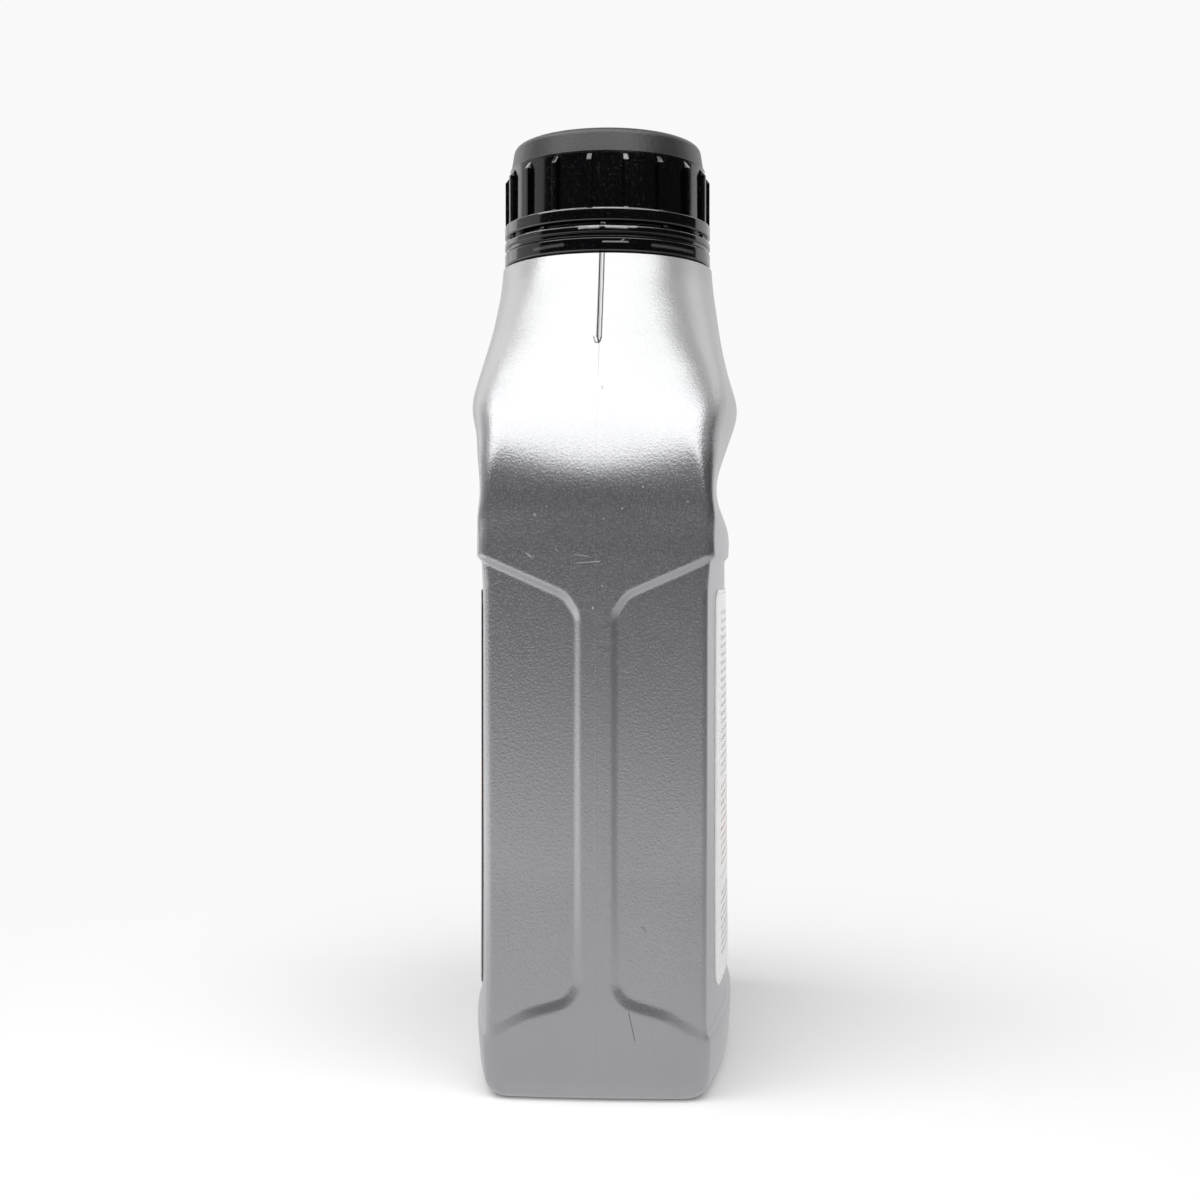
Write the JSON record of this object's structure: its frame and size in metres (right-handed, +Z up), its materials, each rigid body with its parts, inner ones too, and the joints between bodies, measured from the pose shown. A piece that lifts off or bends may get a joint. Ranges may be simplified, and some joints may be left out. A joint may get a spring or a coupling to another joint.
{
  "type": "brake fluid bottle",
  "caption": "Half-litre silver plastic bottle with rounded shoulders, stepped label recess, two labels and a black ribbed screw cap on a tamper band.",
  "frame": {"origin": "centre of the bottle's outline on the surface that it stands on", "axes": "+Z up out of the neck, +X across the wide faces towards one narrow side, -Y towards the front label"},
  "size_m": [0.0922, 0.0528, 0.181],
  "materials": {
    "silver_plastic": "satin silver-grey polyethylene with a fine moulded grain",
    "black_plastic": "satin black polypropylene with a fine grain",
    "dark_label": "smooth coated label, near black",
    "white_label": "smooth coated label, white",
    "liner_foam": "matte white foam"
  },
  "bodies": {
    "bottle_body": {"bottle": "silver_plastic", "front_label": "dark_label", "back_label": "white_label", "tamper_band": "black_plastic"},
    "liner_body": {"cap_liner": "liner_foam"},
    "cap_body": {"cap": "black_plastic"}
  },
  "joints": [
    {"name": "cap_lift", "type": "slide", "parent": "bottle_body", "child": "liner_body", "axis": [0, 0, 1], "range_m": [0, 0.01895]},
    {"name": "cap_turn", "type": "hinge", "parent": "liner_body", "child": "cap_body", "pos_m": [0, 0, 0.1794], "axis": [0, 0, 1], "range_deg": [0, 1620]}
  ],
  "couplings": [
    {"joint": "cap_lift", "follows": "cap_turn", "m_per_rad": 0.00066845}
  ]
}
